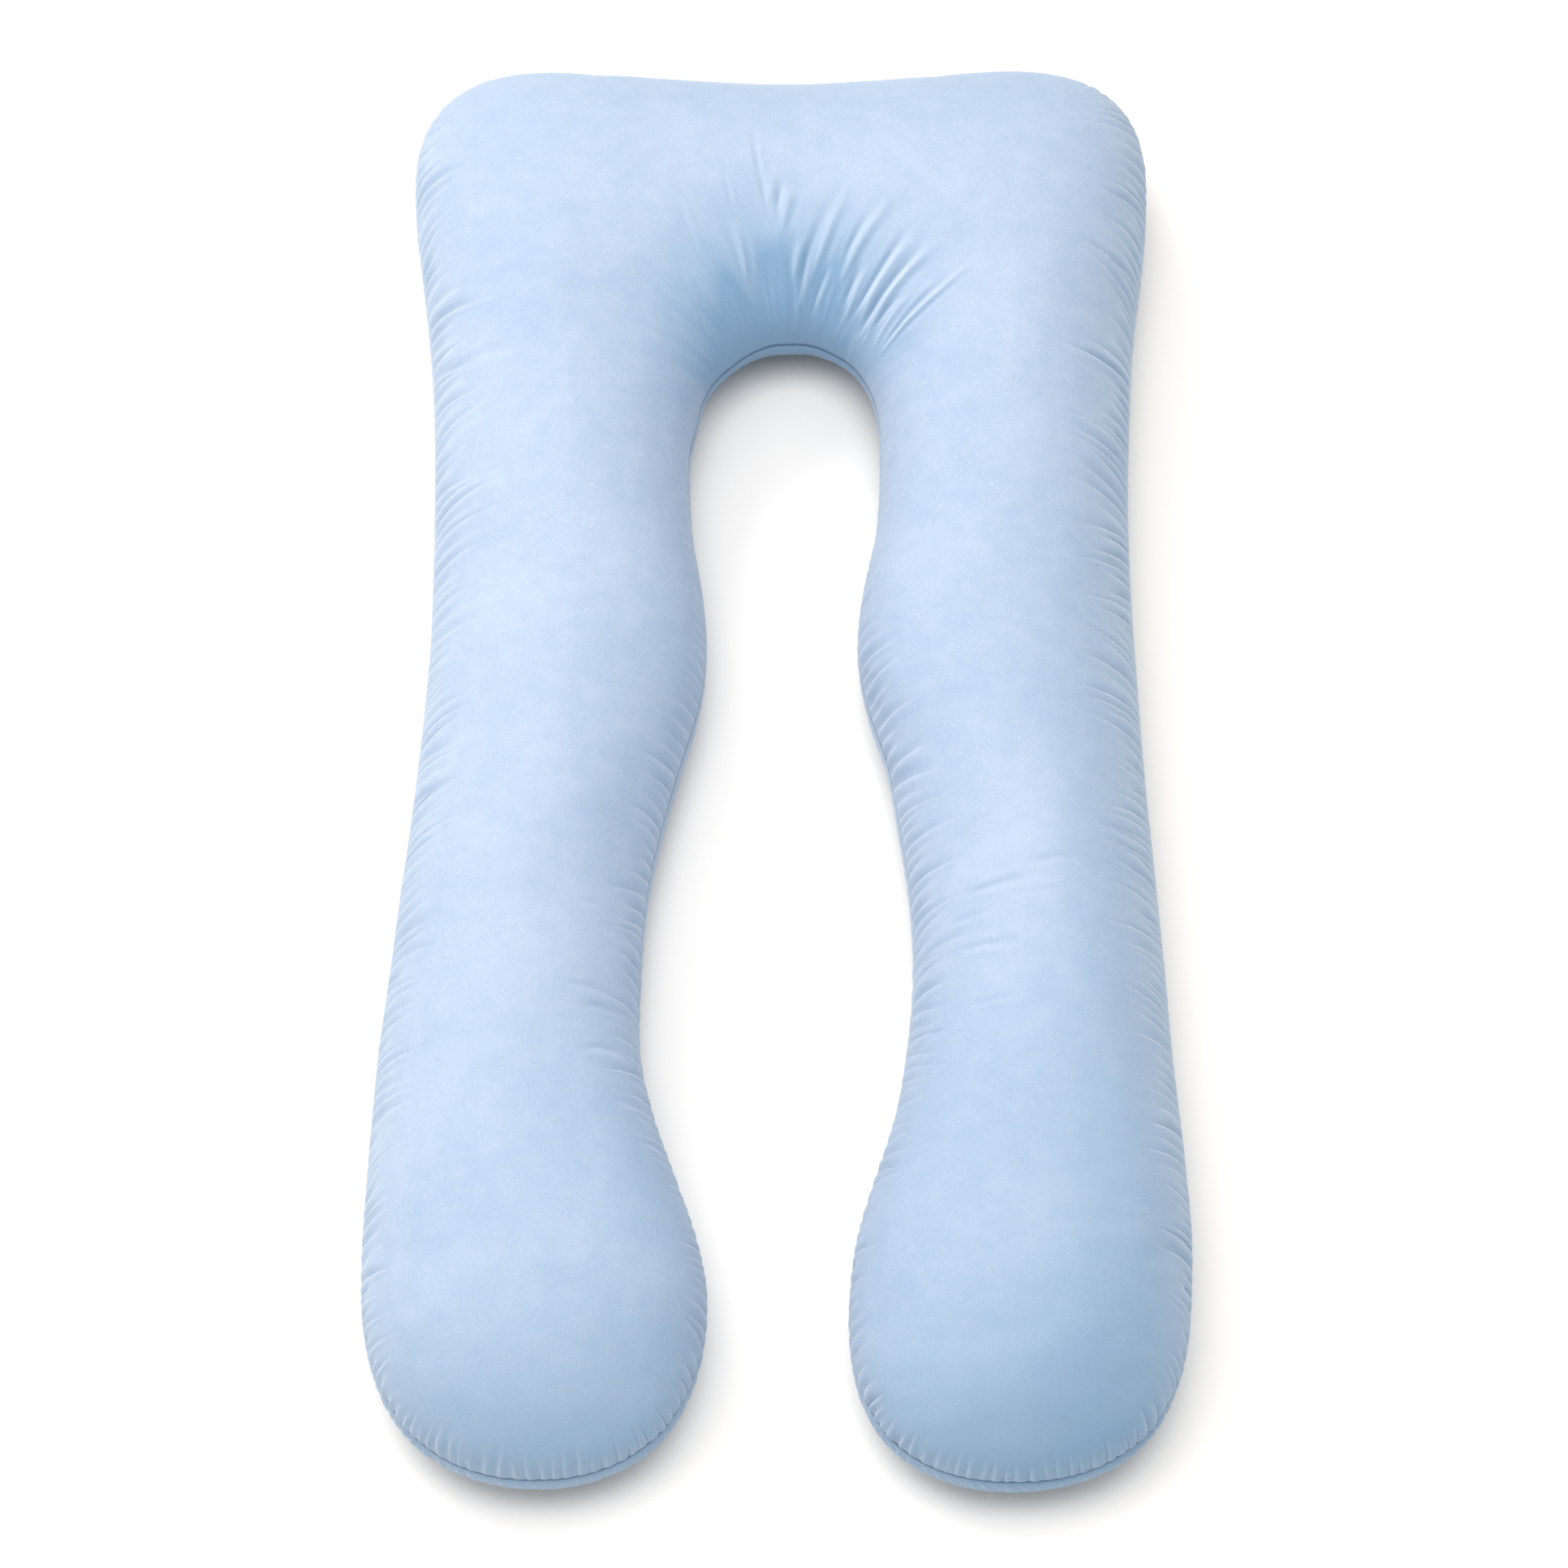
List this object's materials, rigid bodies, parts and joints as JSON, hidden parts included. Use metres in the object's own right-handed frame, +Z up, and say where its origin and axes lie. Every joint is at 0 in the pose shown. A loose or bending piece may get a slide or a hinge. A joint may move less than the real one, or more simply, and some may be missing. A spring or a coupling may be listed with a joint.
{
  "type": "u-shaped body pillow",
  "caption": "Full-length filled pillow in a U: two long legs with round feet joined by a square-shouldered head, in plush cloth with one gathered seam round its edge.",
  "frame": {"origin": "middle of the pillow's length and width, on the surface that it rests on", "axes": "+Y along the length toward the head, +X across the two legs, +Z up through the thickness"},
  "size_m": [0.803, 1.599, 0.206],
  "materials": {
    "plush": "soft short-pile plush in pale blue, matte with a light sheen at grazing angles"
  },
  "bodies": {
    "root": {"pillow": "plush"}
  },
  "joints": []
}
